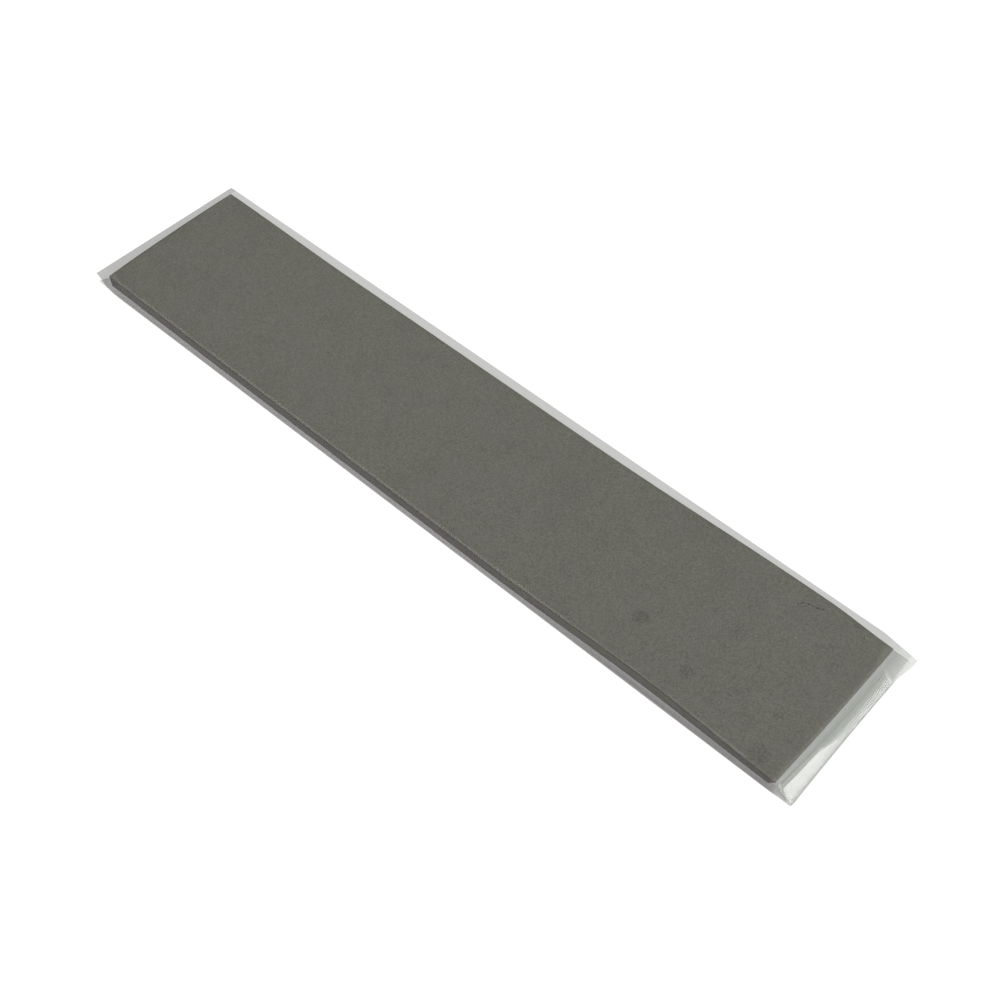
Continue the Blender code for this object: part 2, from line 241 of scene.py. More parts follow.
# The pad's marks: where each lies and its width and height, all in millimetres, how strong it is,
# and how its width is turned; how sharp a mark's edge is, and how the grain breaks it up; then
# the points of a fibre
MARK_TURN = math.radians(43.0)
MARK_STEEPNESS = 2.6
MARK_SPECKLE = (-0.2, 0.2, 1.5, 0.9)
DARK_MARKS = tuple((*mark, MARK_TURN) for mark in (
    (28.70, -4.43, 2.2, 1.9, 0.13),
    (36.12, -6.25, 1.9, 1.8, 0.13),
    (46.67, -8.70, 2.5, 2.5, 0.13),
    (41.37, -7.59, 0.9, 1.0, 0.12),
    (45.66, -4.05, 1.2, 1.0, 0.14),
    (36.95, 0.90, 0.6, 0.7, 0.14),
    (36.89, -1.49, 0.8, 0.9, 0.07),
    (41.12, -0.94, 0.8, 0.9, 0.12),
    (44.91, 6.01, 0.7, 0.8, 0.13),
    (33.77, 1.55, 0.6, 0.6, 0.12),
    (31.43, -1.62, 0.8, 0.9, 0.06),
    (29.57, 1.37, 0.6, 0.6, 0.06),
    (35.24, 6.79, 0.26, 0.3, 0.18),
    (35.00, 5.36, 0.3, 0.35, 0.16),
    (39.05, 6.04, 0.4, 0.45, 0.14),
    (43.59, 2.58, 0.3, 0.35, 0.15),
    (43.67, -2.81, 0.4, 0.45, 0.14),
    (45.77, -0.12, 0.5, 0.5, 0.12),
    (47.64, -1.07, 0.9, 0.4, 0.07),
    (46.75, 8.85, 0.5, 0.5, 0.12),
    (33.83, -2.85, 0.4, 0.45, 0.12),
    (30.64, -8.69, 0.6, 0.6, 0.06),
    (25.19, -1.51, 0.26, 0.3, 0.16),
    (42.59, -5.54, 0.35, 0.4, 0.14),
))
LIGHT_MARKS = tuple((*mark, MARK_TURN) for mark in (
    (41.64, 4.30, 0.28, 0.36, 0.5),
    (40.65, -0.59, 0.2, 0.2, 0.4),
))
FIBRE_POINTS = (
    (39.44, 7.76),
    (39.75, 8.30),
    (40.35, 8.57),
    (41.09, 8.68),
    (41.61, 8.87),
    (41.86, 9.17),
)
FIBRE_WIDTH = 0.20
FIBRE_OVERLAP = 1.4
FIBRE_STRENGTH = 0.30

# How finely each piece is divided
PAD_CELL = 0.25 * MM
CORNER_SEGMENT_COUNT = 4
RIM_SEGMENT_COUNT = 3
WALL_CUT_COUNT = 6
BASE_ALONG_CELL_COUNT = 48
BASE_ACROSS_CELL_COUNT = 16
COVER_CELL = 0.5 * MM
COVER_LEAD_CELL = 0.125 * MM
FRONT_SLOPE_CELL_COUNT = 14
NEAR_SLOPE_CELL_COUNT = 30
FOLD_CELL_COUNT = 3
MARGIN_CELL_COUNT = 6
CURL_CELL_COUNT = 24
SMOOTH_ANGLE = math.radians(35)
LEVEL_FACE = 0.5

# The floor
FLOOR_SIZE = 2.0
FLOOR_DEPTH = 0.02 * MM
FLOOR_COLOUR = (0.03, 0.03, 0.03)
FLOOR_GLOW = (1.0, 1.0, 0.97, 1.0)
FLOOR_ROUGHNESS = 0.9


def clear_selection():
    """Leave object mode with nothing selected."""
    for thing in bpy.context.view_layer.objects:
        thing.select_set(False)


def ease(share):
    """Go from 0 to 1 with no kink at either end."""
    share = min(max(share, 0.0), 1.0)
    return share * share * (3.0 - 2.0 * share)


def hang(share, power):
    """Go from 0 to 1, steepest at the start and flat at the end."""
    return 1.0 - (1.0 - min(share, 1.0)) ** power


def blend(start, end, share):
    """Return the value a share of the way from start to end."""
    return start + (end - start) * share


def spaced(start, end, cells):
    """Return evenly spaced values from start to end, both included."""
    return [blend(start, end, step / cells) for step in range(cells + 1)]


def past_fold(run, rounding):
    """Return how far past a fold a place counts, with the fold itself rounded off."""
    if run > rounding:
        return run
    return max(run + rounding, 0.0) ** 2 / (4.0 * rounding)


def far_wander(x, y):
    """Return how far the pad lies towards +Y near its far end, at a place on it."""
    share = blend(FAR_WANDER_FRONT_SHARE, FAR_WANDER_BACK_SHARE, (y - FRONT_SIDE) / PAD_WIDTH)
    return FAR_WANDER * share * ease(1.0 - (x - FAR_END) / FAR_WANDER_REACH)


def near_wander(x, shape):
    """Return how far an edge of the pad lies towards +Y near its near end, at a place along it."""
    crest_back, reach, crest_height, end_height = shape
    crest = NEAR_END - crest_back
    if x < crest:
        return crest_height * ease(1.0 - (crest - x) / reach)
    return blend(crest_height, end_height, ease((x - crest) / crest_back))


def wander(x, y):
    """Return how far the pad's top lies towards +Y of a straight strip, at a place on it."""
    across = (y - FRONT_SIDE) / PAD_WIDTH
    near_part = blend(near_wander(x, FRONT_NEAR_WANDER), near_wander(x, BACK_NEAR_WANDER), across)
    return far_wander(x, y) + near_part


def underside_wander(x, y):
    """Return how far the pad's underside lies towards +Y, at a place on it."""
    return UNDERSIDE_FAR_SHARE * far_wander(x, y) + near_wander(x, UNDERSIDE_NEAR_WANDER)


def front_edge(x):
    """Return where both films' front edge lies, at a place along the strip."""
    share = (x - OUTLINE_FAR) / (OUTLINE_NEAR - OUTLINE_FAR)
    return FRONT_SIDE - blend(FRONT_MARGIN_FAR, FRONT_MARGIN_NEAR, share)


def near_edge(y):
    """Return where both films' near edge was cut, at a place across the strip."""
    share = (y - OUTLINE_FRONT) / (OUTLINE_BACK - OUTLINE_FRONT)
    margin = blend(NEAR_MARGIN_FRONT, NEAR_MARGIN_BACK, share)
    return NEAR_END + margin - NEAR_CUT_BOW * 4.0 * share * (1.0 - share)


def corner_curl(x, y):
    """Return how far the base film's far front corner has curled up off the floor."""
    along = (x - BASE_FAR_EDGE) / CORNER_CURL_REACH_ALONG
    across = (y - front_edge(x)) / CORNER_CURL_REACH_ACROSS
    return CORNER_CURL * ease(1.0 - max(along, 0.0) - max(across, 0.0))


def add_grid(name, columns, rows):
    """Add a flat grid whose lines can be told from its points, and return it with their numbers."""
    clear_selection()
    bpy.ops.mesh.primitive_grid_add(x_subdivisions=columns - 1, y_subdivisions=rows - 1, size=1.0)
    piece = bpy.context.object
    piece.name = name
    piece.data.name = name
    crossings = []
    for vert in piece.data.vertices:
        column = round((vert.co.x + 0.5) * (columns - 1))
        row = round((vert.co.y + 0.5) * (rows - 1))
        crossings.append((vert, column, row))
    return piece, crossings


def thicken(piece, thickness):
    """Give a sheet its thickness, upwards from its points, and shade it smooth."""
    wall = piece.modifiers.new("film thickness", "SOLIDIFY")
    wall.thickness = thickness
    wall.offset = 1.0
    wall.use_even_offset = True
    bpy.ops.object.modifier_apply(modifier=wall.name)
    bpy.ops.object.shade_smooth_by_angle(angle=SMOOTH_ANGLE)


def base_film():
    """The bottom liner: a flat film with its edges where it was cut and one corner curled up."""
    curl_end = BASE_FAR_EDGE + CORNER_CURL_REACH_ALONG
    columns = spaced(BASE_FAR_EDGE, curl_end, CURL_CELL_COUNT)
    columns += spaced(curl_end, NEAR_END, BASE_ALONG_CELL_COUNT)[1:]
    row_count = CURL_CELL_COUNT // 2 + BASE_ACROSS_CELL_COUNT + 1
    piece, crossings = add_grid("base_film", len(columns), row_count)
    for vert, column, row in crossings:
        x = columns[column]
        front = front_edge(x)
        curl_back = front + CORNER_CURL_REACH_ACROSS
        rows = spaced(front, curl_back, CURL_CELL_COUNT // 2)
        rows += spaced(curl_back, BACK_SIDE + BASE_BACK_MARGIN, BASE_ACROSS_CELL_COUNT)[1:]
        y = rows[row]
        x = near_edge(y) if column == len(columns) - 1 else x
        vert.co = (x, y, corner_curl(x, y))
    thicken(piece, FILM_THICKNESS)
    return piece


def end_bow(y, depth):
    """Return how far an end of the pad bulges out past its corners, at a place across the strip."""
    across = min(abs(y - MIDDLE_Y) / (PAD_WIDTH / 2), 1.0)
    return depth * (1.0 - across * across)


def film_at_pad_front(x):
    """Return where the cover film leaves the pad at the front, at a place along the strip."""
    return FRONT_SIDE + wander(x, FRONT_SIDE) - LAYER_GAP


def film_at_pad_back(x):
    """Return where the cover film leaves the pad at the back, at a place along the strip."""
    return BACK_SIDE + wander(x, BACK_SIDE) + LAYER_GAP


def back_corner_share(y, pad_back):
    """Return how near a place across the strip is to the pad's back: 0 far from it, 1 there."""
    return ease(1.0 - max(pad_back - y, 0.0) / BACK_CORNER_REACH)


def cover_near_edge(y, to_back_corner):
    """Return where the cover film's near edge lies, at a place across the strip."""
    return near_edge(y) - COVER_EDGE_INSET + BACK_CORNER_OVERSHOOT * to_back_corner


def near_drop_share(x, y, back_out):
    """Return how far the cover film has dropped past the pad's near end: 0 none, 1 all the way."""
    to_back_corner = back_corner_share(y, film_at_pad_back(NEAR_END))
    film_near = cover_near_edge(y, to_back_corner)
    hang_start = NEAR_END + end_bow(y, NEAR_BOW) + LAYER_GAP - BACK_CORNER_LEAD_IN * back_out
    run = past_fold(x - hang_start, NEAR_FOLD_ROUNDING) / (film_near - hang_start)
    power = blend(NEAR_HANG_POWER, BACK_CORNER_HANG_POWER, to_back_corner)
    return hang(run, power) * blend(1.0, BACK_CORNER_DROP_SHARE, to_back_corner)


def cover_columns():
    """Return the cover film's lines across the strip: each line's place on the pad, and how far
    out it lies on the far and on the near margin."""
    far_fold = FAR_END - FAR_BOW - LAYER_GAP
    near_fold = NEAR_END + NEAR_BOW + LAYER_GAP
    near_lead = near_fold - BACK_CORNER_LEAD_IN
    over_pad_count = round((near_lead - far_fold) / COVER_CELL)
    far_margin = [(far_fold, out, 0.0) for out in spaced(1.0, 0.0, MARGIN_CELL_COUNT)[:-1]]
    over_pad = [(place, 0.0, 0.0) for place in spaced(far_fold, near_lead, over_pad_count)]
    lead_count = round(BACK_CORNER_LEAD_IN / COVER_LEAD_CELL)
    lead = [(place, 0.0, 0.0) for place in spaced(near_lead, near_fold, lead_count)[1:]]
    near_margin = [(near_fold, 0.0, out) for out in spaced(0.0, 1.0, NEAR_SLOPE_CELL_COUNT)[1:]]
    return far_margin + over_pad + lead + near_margin


def cover_rows():
    """Return the cover film's lines along the strip: each line's zone, and its share of that zone."""
    front = [("front", out) for out in spaced(1.0, 0.0, FRONT_SLOPE_CELL_COUNT)]
    fold = [("fold", share) for share in spaced(0.0, 1.0, FOLD_CELL_COUNT)[1:]]
    over_pad = [("pad", share) for share in spaced(0.0, 1.0, round(PAD_WIDTH / COVER_CELL))[1:]]
    back = [("back", out) for out in spaced(0.0, 1.0, MARGIN_CELL_COUNT)[1:]]
    return front + fold + over_pad + back


def cover_row_place(zone, share, x):
    """Return how far across a line of the cover film lies, at a place along the strip."""
    pad_front = film_at_pad_front(x)
    pad_back = film_at_pad_back(x)
    fold_end = pad_front + FRONT_FOLD_ROUNDING
    if zone == "front":
        return blend(pad_front, front_edge(x) + COVER_EDGE_INSET, share)
    if zone == "fold":
        return blend(pad_front, fold_end, share)
    if zone == "pad":
        return blend(fold_end, pad_back, share)
    return blend(pad_back, BACK_SIDE + COVER_BACK_MARGIN, share)


def cover_point(column, zone, share):
    """Return where a crossing of the cover film's lines lies, on the film's underside."""
    along, far_out, near_out = column
    y = cover_row_place(zone, share, along)
    back_out = share if zone == "back" else 0.0
    pad_front = film_at_pad_front(along)
    film_front = front_edge(along) + COVER_EDGE_INSET
    across = (y - OUTLINE_FRONT) / (OUTLINE_BACK - OUTLINE_FRONT)
    film_far = FAR_END - blend(COVER_FAR_MARGIN_FRONT, COVER_FAR_MARGIN_BACK, across)
    film_near = cover_near_edge(y, back_corner_share(y, film_at_pad_back(along)))
    x = blend(along, film_far, far_out) if far_out else blend(along, film_near, near_out)

    stiffness = 1.0 - ease((x - film_far) / FAR_CORNER_STIFF_REACH)
    front_run = past_fold(pad_front - y, FRONT_FOLD_ROUNDING) / (pad_front - film_front)
    front_drop = hang(front_run, FRONT_HANG_POWER) * (1.0 - stiffness)
    near_drop = near_drop_share(x, y, back_out)
    full_drop = FULL_DROP - corner_curl(x, y)
    drop = full_drop * (1.0 - (1.0 - front_drop) * (1.0 - near_drop))
    drop += FAR_EDGE_DROP * far_out * far_out + BACK_EDGE_DROP * back_out * back_out
    return x, y, COVER_UNDERSIDE - drop


def cover_film():
    """The top liner: stuck to the pad's top, with its free margins bent down past the edges."""
    columns = cover_columns()
    rows = cover_rows()
    piece, crossings = add_grid("cover_film", len(columns), len(rows))
    for vert, column, row in crossings:
        zone, share = rows[row]
        vert.co = cover_point(columns[column], zone, share)
    thicken(piece, FILM_THICKNESS)
    return piece


def select_edges(piece, wanted):
    """Select the edges of a mesh in edit mode that a test picks by their ends."""
    mesh = bmesh.from_edit_mesh(piece.data)
    bpy.ops.mesh.select_all(action="DESELECT")
    for edge in mesh.edges:
        if wanted(edge):
            edge.select_set(True)
    bmesh.update_edit_mesh(piece.data)


def is_upright_corner(edge):
    """Tell whether an edge stands at one of the block's four corners."""
    ends = [vert.co for vert in edge.verts]
    at_end = abs(abs(ends[0].x - MIDDLE_X) - (NEAR_END - MIDDLE_X)) < PAD_RIM_RADIUS
    at_side = abs(abs(ends[0].y - MIDDLE_Y) - PAD_WIDTH / 2) < PAD_RIM_RADIUS
    return abs(ends[0].z - ends[1].z) > PAD_THICKNESS / 2 and at_end and at_side


def is_rim(edge):
    """Tell whether an edge lies between the block's wall and its top or underside."""
    if len(edge.link_faces) != 2:
        return False
    levels = [abs(face.normal.z) > LEVEL_FACE for face in edge.link_faces]
    return levels[0] != levels[1]


def is_wall_upright(edge):
    """Tell whether an edge runs up the block's wall."""
    ends = [vert.co for vert in edge.verts]
    return abs(ends[0].z - ends[1].z) > PAD_THICKNESS / 2


def pad_strip():
    """The pad: a block with rounded corners and rims, bowed, undercut ends and wandering sides."""
    clear_selection()
    length = NEAR_END - FAR_END
    columns = round(length / PAD_CELL)
    rows = round(PAD_WIDTH / PAD_CELL)
    bpy.ops.mesh.primitive_grid_add(
        x_subdivisions=columns, y_subdivisions=rows, size=1.0, location=(MIDDLE_X, MIDDLE_Y, PAD_TOP)
    )
    piece = bpy.context.object
    piece.name = "pad_strip"
    piece.data.name = "pad_strip"
    piece.scale = (length, PAD_WIDTH, 1.0)
    bpy.ops.object.transform_apply(location=True, rotation=False, scale=True)
    bpy.ops.object.mode_set(mode="EDIT")
    bpy.ops.mesh.select_all(action="SELECT")
    bpy.ops.mesh.extrude_region_move(TRANSFORM_OT_translate={"value": (0.0, 0.0, -PAD_THICKNESS)})
    bpy.ops.mesh.select_all(action="SELECT")
    bpy.ops.mesh.normals_make_consistent(inside=False)
    select_edges(piece, is_upright_corner)
    bpy.ops.mesh.bevel(offset=PAD_CORNER_RADIUS, segments=CORNER_SEGMENT_COUNT, affect="EDGES")
    select_edges(piece, is_rim)
    bpy.ops.mesh.bevel(offset=PAD_RIM_RADIUS, segments=RIM_SEGMENT_COUNT, affect="EDGES")
    select_edges(piece, is_wall_upright)
    bpy.ops.mesh.subdivide_edgering(number_cuts=WALL_CUT_COUNT, interpolation="LINEAR")
    bpy.ops.object.mode_set(mode="OBJECT")
    for vert in piece.data.vertices:
        vert.co = pad_point(vert.co)
    bpy.ops.object.shade_smooth_by_angle(angle=SMOOTH_ANGLE)
    return piece


def pad_point(place):
    """Return where a point of the straight block goes on the bowed, wandering pad."""
    x = place.x - MIDDLE_X
    half_length = NEAR_END - MIDDLE_X
    height_share = (place.z - PAD_UNDERSIDE) / PAD_THICKNESS
    nearness = ease((abs(x) - half_length) / FAR_WANDER_REACH + 1.0)
    bow = end_bow(place.y, NEAR_BOW if x > 0.0 else FAR_BOW) * nearness
    cut_slant = PAD_NEAR_UNDERCUT if x > 0.0 else PAD_FAR_UNDERCUT
    undercut = cut_slant * (1.0 - height_share) * x / half_length
    under = underside_wander(place.x, place.y)
    top = wander(place.x, place.y)
    bent = Vector((
        place.x + math.copysign(bow, x) - undercut,
        place.y + blend(under, top, height_share),
        place.z,
    ))
    bent.z -= FULL_DROP * near_drop_share(bent.x, bent.y, 0.0) * height_share
    return bent


def make_camera():
    """Stand the camera where the photograph was taken from."""
    back = Vector((
        math.sin(CAMERA_AZIMUTH) * math.cos(CAMERA_ELEVATION),
        -math.cos(CAMERA_AZIMUTH) * math.cos(CAMERA_ELEVATION),
        math.sin(CAMERA_ELEVATION),
    ))
    right = Vector((0, 0, 1)).cross(back).normalized()
    up = back.cross(right)
    turn = Matrix((right, up, back)).transposed() @ Matrix.Rotation(CAMERA_ROLL, 3, "Z")
    data = bpy.data.cameras.new("camera")
    camera = bpy.data.objects.new("camera", data)
    bpy.context.scene.collection.objects.link(camera)
    camera.matrix_world = Matrix.Translation(CAMERA_PLACE) @ turn.to_4x4()
    data.lens = CAMERA_LENS
    data.sensor_width = CAMERA_SENSOR_WIDTH
    data.shift_x, data.shift_y = CAMERA_SHIFT
    data.clip_start, data.clip_end = CAMERA_CLIP
    bpy.context.scene.camera = camera


def new_material(name, colour, roughness):
    """Make a Principled material and return it with its shader."""
    material = bpy.data.materials.new(name)
    material.use_nodes = True
    shader = material.node_tree.nodes["Principled BSDF"]
    shader.inputs["Base Color"].default_value = (*colour, 1.0)
    shader.inputs["Roughness"].default_value = roughness
    return material, shader


def add_math(tree, operation, first, second, clamp=False):
    """Add a maths node whose inputs are numbers or other nodes' outputs, and return its output."""
    node = tree.nodes.new("ShaderNodeMath")
    node.operation = operation
    node.use_clamp = clamp
    for socket, value in zip(node.inputs, (first, second)):
        if isinstance(value, (int, float)):
            socket.default_value = value
        else:
            tree.links.new(value, socket)
    return node.outputs["Value"]


def add_ramp(tree, value, start, end, low, high):
    """Add a node that turns a value between start and end into one between low and high."""
    node = tree.nodes.new("ShaderNodeMapRange")
    node.interpolation_type = "SMOOTHSTEP"
    node.inputs["From Min"].default_value = start
    node.inputs["From Max"].default_value = end
    node.inputs["To Min"].default_value = low
    node.inputs["To Max"].default_value = high
    tree.links.new(value, node.inputs["Value"])
    return node.outputs["Result"]


def add_mix(tree, share, first, second):
    """Add a node that goes from one colour to another by a share, and return its colour."""
    node = tree.nodes.new("ShaderNodeMix")
    node.data_type = "RGBA"
    tree.links.new(share, node.inputs["Factor"])
    for socket, colour in ((node.inputs["A"], first), (node.inputs["B"], second)):
        if isinstance(colour, tuple):
            socket.default_value = (*colour, 1.0)
        else:
            tree.links.new(colour, socket)
    return node.outputs["Result"]


def add_noise(tree, place, grain, detail):
    """Add a noise with grains of a size, and return its strength from 0 to 1."""
    node = tree.nodes.new("ShaderNodeTexNoise")
    node.inputs["Scale"].default_value = 1.0 / grain
    node.inputs["Detail"].default_value = detail
    tree.links.new(place, node.inputs["Vector"])
    return node.outputs["Fac"]


def add_place(tree):
    """Add the coordinates of the piece, and return them whole, along, across and upwards."""
    place = tree.nodes.new("ShaderNodeTexCoord").outputs["Object"]
    split = tree.nodes.new("ShaderNodeSeparateXYZ")
    tree.links.new(place, split.inputs["Vector"])
    return place, split.outputs["X"], split.outputs["Y"], split.outputs["Z"]


def add_near_rim_painted_light(tree, along, across, change):
    """Add painted light along a film's cut near edge, where it keeps back less, and return it."""
    slant = (NEAR_MARGIN_FRONT - NEAR_MARGIN_BACK) / (OUTLINE_BACK - OUTLINE_FRONT)
    past = add_math(tree, "ADD", along, add_math(tree, "MULTIPLY", across, slant))
    rim = NEAR_END + NEAR_MARGIN_FRONT + OUTLINE_FRONT * slant
    return add_ramp(tree, past, rim - RIM_START, rim - RIM_END, 0.0, change)


def base_film_material():
    """Clear polyester film, glossy, each face of which keeps back a share of the light, with painted
    shade along its front and painted light at its near corners and cut near edge.
    """
    material, shader = new_material("base_polyester", FILM_TINT, FILM_ROUGHNESS)
    shader.inputs["IOR"].default_value = FILM_IOR
    tree = material.node_tree
    along, across = add_place(tree)[1:3]
    past_far = add_ramp(tree, along, *PAST_FAR_END)
    before_near = add_ramp(tree, along, *BEFORE_NEAR_END)
    # painted shade: the base film keeps back more along its front, so it shows darker there
    front = add_ramp(tree, across, *BASE_FRONT)
    front = add_math(tree, "MULTIPLY", front, add_math(tree, "MULTIPLY", past_far, before_near))
    front_painted_shade = add_math(tree, "MULTIPLY", front, add_ramp(tree, along, *BASE_FRONT_PAINTED_SHADE))
    kept = add_math(tree, "ADD", front_painted_shade, BASE_KEPT)
    # painted light: the base film keeps back less along its cut near edge
    kept = add_math(tree, "ADD", kept, add_near_rim_painted_light(tree, along, across, BASE_RIM_PAINTED_LIGHT))
    # painted light: the base film keeps back less at its near back and front corners, so they show
    # lighter
    for corner, corner_painted_light in (
        (BASE_BACK_CORNER, BASE_BACK_CORNER_PAINTED_LIGHT),
        (BASE_FRONT_CORNER, BASE_FRONT_CORNER_PAINTED_LIGHT),
    ):
        corner_share = add_ramp(tree, across, *corner)
        change = add_math(tree, "MULTIPLY", corner_share, add_ramp(tree, along, *corner_painted_light))
        kept = add_math(tree, "ADD", kept, change)
    tree.links.new(kept, shader.inputs["Alpha"])
    return material


def add_back_wander(tree, along):
    """Add how far the pad's back edge lies towards +Y, as wander gives it, and return it."""
    crest_back, reach, crest_height, end_height = BACK_NEAR_WANDER
    crest = NEAR_END - crest_back
    far_height = FAR_WANDER * FAR_WANDER_BACK_SHARE
    far_part = add_ramp(tree, along, FAR_END, FAR_END + FAR_WANDER_REACH, far_height, 0.0)
    rise = add_ramp(tree, along, crest - reach, crest, 0.0, crest_height)
    fall = add_ramp(tree, along, crest, NEAR_END, 0.0, end_height - crest_height)
    return add_math(tree, "ADD", far_part, add_math(tree, "ADD", rise, fall))


def add_cover_kept_with_painted_shade_and_light(tree, along, across, back_corner):
    """Add the share of light that each face of the cover film keeps back, with painted shade on its
    margins and painted light at its near edge and near back corner, and return it.
    """
    # painted shade: the cover film keeps back more on its four margins, so they show darker
    far = add_ramp(tree, along, *COVER_FAR_PAINTED_SHADE)
    near = add_ramp(tree, along, *COVER_NEAR_PAINTED_SHADE)
    front = add_ramp(tree, across, *COVER_FRONT_PAINTED_SHADE)
    front = add_math(tree, "MULTIPLY", front, add_ramp(tree, along, *BEFORE_NEAR_END))
    from_pad_back = add_math(tree, "SUBTRACT", across, add_back_wander(tree, along))
    back = add_ramp(tree, from_pad_back, *COVER_BACK_PAINTED_SHADE)
    ends = add_math(tree, "MAXIMUM", far, near)
    sides = add_math(tree, "MAXIMUM", front, back)
    kept = add_math(tree, "ADD", add_math(tree, "MAXIMUM", ends, sides), COVER_KEPT)
    # painted light: the cover film keeps back less along its cut near edge
    kept = add_math(tree, "ADD", add_near_rim_painted_light(tree, along, across, COVER_RIM_PAINTED_LIGHT), kept)
    # painted light: the cover film keeps back less at its near back corner, so it shows lighter
    back_corner_painted_light = add_ramp(tree, along, *COVER_CORNER_PAINTED_LIGHT)
    return add_math(tree, "ADD", kept, add_math(tree, "MULTIPLY", back_corner_painted_light, back_corner))


def add_near_fold(tree, along, across):
    """Add where the cover film folds down past the pad's bowed near end, and return it."""
    from_middle = add_math(tree, "DIVIDE", add_math(tree, "SUBTRACT", across, MIDDLE_Y), PAD_WIDTH / 2)
    bow = add_math(tree, "MULTIPLY", add_math(tree, "MULTIPLY", from_middle, from_middle), NEAR_BOW)
    past_end = add_math(tree, "ADD", along, bow)
    before = add_ramp(tree, past_end, *FOLD_START)
    after = add_ramp(tree, past_end, *FOLD_STOP)
    return add_math(tree, "MULTIPLY", before, after)


def add_both(tree, along, across, along_ramp, across_ramp):
    """Add where two ramps, one along and one across, both hold, and return it."""
    along_share = add_ramp(tree, along, *along_ramp)
    return add_math(tree, "MULTIPLY", along_share, add_ramp(tree, across, *across_ramp))


def add_cover_roughness(tree, along, across, back_corner):
    """Add the cover film's roughness, scuffed dull where it is folded, and return it."""
    fold = add_near_fold(tree, along, across)
    curl = add_both(tree, along, across, CURL_ALONG, CURL_ACROSS)
    dull = add_math(tree, "MAXIMUM", add_math(tree, "MAXIMUM", fold, back_corner), curl)
    return add_ramp(tree, dull, *DULLNESS)


def add_cover_tint(tree, along, across):
    """Add the cover film's tint, one along its front and one on its near margin, and return it."""
    at_front = add_both(tree, along, across, TINT_PAST_CURL, TINT_FRONT)
    tint = add_mix(tree, at_front, FILM_TINT, FRONT_TINT)
    return add_mix(tree, add_ramp(tree, along, *TINT_NEAR), tint, NEAR_TINT)


def cover_film_material():
    """The same film where it was pulled down past the pad: it keeps back more light on its margins
    as painted shade, less at its near edge and near back corner as painted light, and it is
    scuffed dull along the near fold and at its back corner."""
    material, shader = new_material("cover_polyester", FILM_TINT, FILM_ROUGHNESS)
    shader.inputs["IOR"].default_value = FILM_IOR
    tree = material.node_tree
    along, across = add_place(tree)[1:3]
    back_corner = add_both(tree, along, across, BACK_CORNER_ALONG, BACK_CORNER_ACROSS)
    kept = add_cover_kept_with_painted_shade_and_light(tree, along, across, back_corner)
    roughness = add_cover_roughness(tree, along, across, back_corner)
    tree.links.new(kept, shader.inputs["Alpha"])
    tree.links.new(roughness, shader.inputs["Roughness"])
    tree.links.new(add_cover_tint(tree, along, across), shader.inputs["Base Color"])
    return material


def add_mark(tree, place, mark):
    """Add one soft oval mark, and return its strength."""
    x, y, width, height, strength, turn = mark
    fit = tree.nodes.new("ShaderNodeMapping")
    fit.vector_type = "TEXTURE"
    fit.inputs["Location"].default_value = (x * MM, y * MM, 0.0)
    fit.inputs["Rotation"].default_value = (0.0, 0.0, turn)
    fit.inputs["Scale"].default_value = (width / 2 * MM, height / 2 * MM, 1.0)
    tree.links.new(place, fit.inputs["Vector"])
    fall = tree.nodes.new("ShaderNodeTexGradient")
    fall.gradient_type = "SPHERICAL"
    tree.links.new(fit.outputs["Vector"], fall.inputs["Vector"])
    plateau = add_math(tree, "MULTIPLY", fall.outputs["Fac"], MARK_STEEPNESS, clamp=True)
    return add_math(tree, "MULTIPLY", plateau, strength)


def fibre_marks():
    """Return the short straight marks that together make a thin bent fibre."""
    marks = []
    for (x, y), (next_x, next_y) in zip(FIBRE_POINTS, FIBRE_POINTS[1:]):
        length = math.hypot(next_x - x, next_y - y) * FIBRE_OVERLAP
        turn = math.atan2(next_y - y, next_x - x)
        middle = ((x + next_x) / 2, (y + next_y) / 2)
        marks.append((*middle, length, FIBRE_WIDTH, FIBRE_STRENGTH, turn))
    return tuple(marks)


def add_marks(tree, place, marks):
    """Add several marks, and return their strengths taken together."""
    total = add_mark(tree, place, marks[0])
    for mark in marks[1:]:
        total = add_math(tree, "ADD", total, add_mark(tree, place, mark))
    return total


def add_pad_level(tree, place, along, height):
    """Add how light each place of the pad is for its colour, from its grain, mottling and marks,
    with painted light on its sides and painted shade towards its near end, and return it."""
    # painted light: the pad's sides are made lighter than its top
    side_painted_light = add_ramp(tree, height, *PAD_SIDE_PAINTED_LIGHT)
    grain = add_noise(tree, place, PAD_GRAIN, PAD_GRAIN_DETAIL)
    grain = add_math(tree, "SUBTRACT", grain, 0.5)
    mottle = add_noise(tree, place, PAD_MOTTLE, PAD_MOTTLE_DETAIL)
    mottle = add_math(tree, "SUBTRACT", mottle, 0.5)
    dark = add_marks(tree, place, DARK_MARKS + fibre_marks())
    dark = add_math(tree, "MULTIPLY", dark, add_ramp(tree, grain, *MARK_SPECKLE))
    light = add_marks(tree, place, LIGHT_MARKS)
    level = add_math(tree, "MULTIPLY", grain, PAD_GRAIN_DEPTH)
    level = add_math(tree, "ADD", level, add_math(tree, "MULTIPLY", mottle, PAD_MOTTLE_DEPTH))
    level = add_math(tree, "ADD", add_math(tree, "SUBTRACT", level, dark), light)
    level = add_math(tree, "MULTIPLY", add_math(tree, "ADD", level, 1.0), side_painted_light)
    # painted shade: the pad grows darker towards its near end
    return add_math(tree, "MULTIPLY", level, add_ramp(tree, along, *PAD_PAINTED_SHADE_ALONG))


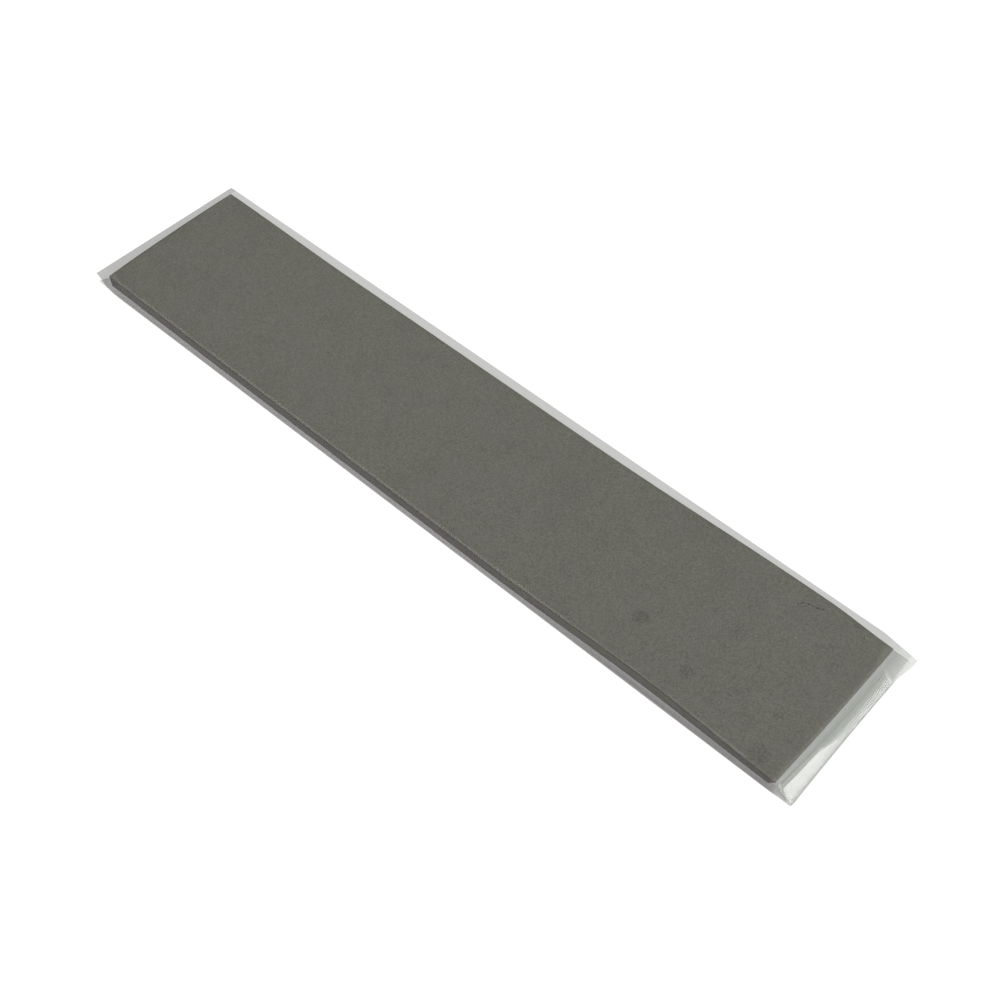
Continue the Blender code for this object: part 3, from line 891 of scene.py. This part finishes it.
def pad_material():
    """Filled silicone: matt, mid-grey with a green cast, finely grained and faintly mottled, with
    the soft dark prints and the few light specks of the pad in the photograph."""
    material, shader = new_material("grey_silicone", PAD_COLOUR, PAD_ROUGHNESS)
    shader.inputs["Specular IOR Level"].default_value = PAD_SPECULAR
    tree = material.node_tree
    place, along, _, height = add_place(tree)
    shift = add_ramp(tree, add_noise(tree, place, PAD_HUE_PATCH, PAD_HUE_DETAIL), *PAD_HUE_SHARE)
    hue = add_mix(tree, shift, PAD_COLOUR_OLIVE, PAD_COLOUR_GREY)
    shade = tree.nodes.new("ShaderNodeVectorMath")
    shade.operation = "SCALE"
    tree.links.new(hue, shade.inputs["Vector"])
    # the level carries painted light on the pad's sides and painted shade towards its near end
    tree.links.new(add_pad_level(tree, place, along, height), shade.inputs["Scale"])
    tree.links.new(shade.outputs["Vector"], shader.inputs["Base Color"])
    return material


def floor_material():
    """A white light table, so bright that the strip casts no shadow on it."""
    material, shader = new_material("white_floor", FLOOR_COLOUR, FLOOR_ROUGHNESS)
    shader.inputs["Specular IOR Level"].default_value = 0.0
    shader.inputs["Emission Color"].default_value = FLOOR_GLOW
    shader.inputs["Emission Strength"].default_value = 1.0
    material.cycles.emission_sampling = "NONE"
    return material


def dress(piece, material, node):
    """Give a finished piece its material, its body and the node that it stands for."""
    piece.data.materials.clear()
    piece.data.materials.append(material)
    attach(piece, "root")
    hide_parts(node)


def add_panel(name, target, direction, across, size, distance, brightness):
    """Add a flat soft light that faces a target from a direction, its width lying along across."""
    back = Vector(direction).normalized()
    side = Vector(across)
    side = (side - back * side.dot(back)).normalized()
    up = back.cross(side)
    data = bpy.data.lights.new(name, "AREA")
    data.shape = "RECTANGLE"
    data.size, data.size_y = (length * distance for length in size)
    data.energy = brightness * math.pi * data.size * data.size_y
    light = bpy.data.objects.new(name, data)
    bpy.context.scene.collection.objects.link(light)
    turn = Matrix((side, up, back)).transposed()
    light.matrix_world = Matrix.Translation(Vector(target) + back * distance) @ turn.to_4x4()
    light.visible_camera = False


def add_wall_panel(name, turn, low, high, brightness):
    """Add one panel of the curved wall, between two heights towards +Y."""
    lift = math.radians((low + high) / 2)
    turn = math.radians(turn)
    direction = (math.cos(lift) * math.cos(turn), math.sin(lift), math.cos(lift) * math.sin(turn))
    across = (math.sin(turn), 0.0, -math.cos(turn))
    half_width = math.tan(math.radians(WALL_PANEL_TURN / 2)) * math.cos(lift)
    half_height = math.tan(math.radians((high - low) / 2))
    size = (2 * half_width, 2 * half_height)
    add_panel(name, WALL_TARGET, direction, across, size, PANEL_DISTANCE, brightness)


def studio_light():
    """A dim white room, its panels, and the curved wall of panels."""
    world = bpy.data.worlds.new("studio")
    bpy.context.scene.world = world
    world.use_nodes = True
    background = world.node_tree.nodes["Background"]
    background.inputs["Color"].default_value = (1.0, 1.0, 1.0, 1.0)
    background.inputs["Strength"].default_value = ROOM_STRENGTH
    for name, (direction, size, brightness) in (("overhead", OVERHEAD_PANEL), ("fold", FOLD_PANEL)):
        add_panel(name, (0.0, 0.0, 0.0), direction, (0.0, 1.0, 0.0), size, PANEL_DISTANCE, brightness)
    for turn, top, bright, soft in WALL_PANELS:
        add_wall_panel("wall_soft", turn, top, WALL_HIGH, soft)
        add_wall_panel("wall_skirt", turn, WALL_SKIRT_LOW, WALL_LOW, WALL_SKIRT_BRIGHTNESS)
        if top > WALL_LOW:
            add_wall_panel("wall_bright", turn, WALL_LOW, top, bright)


make_camera()
base = base_film()
dress(base, base_film_material(), "bottom_liner")
pad = pad_strip()
dress(pad, pad_material(), "thermal_pad")
cover = cover_film()
dress(cover, cover_film_material(), "top_liner")
studio_light()
bpy.context.scene.view_settings.view_transform = "Standard"
bpy.ops.mesh.primitive_plane_add(size=FLOOR_SIZE, location=(0, 0, -FLOOR_DEPTH))
floor = bpy.context.object
floor.name = "floor"
floor.data.materials.append(floor_material())
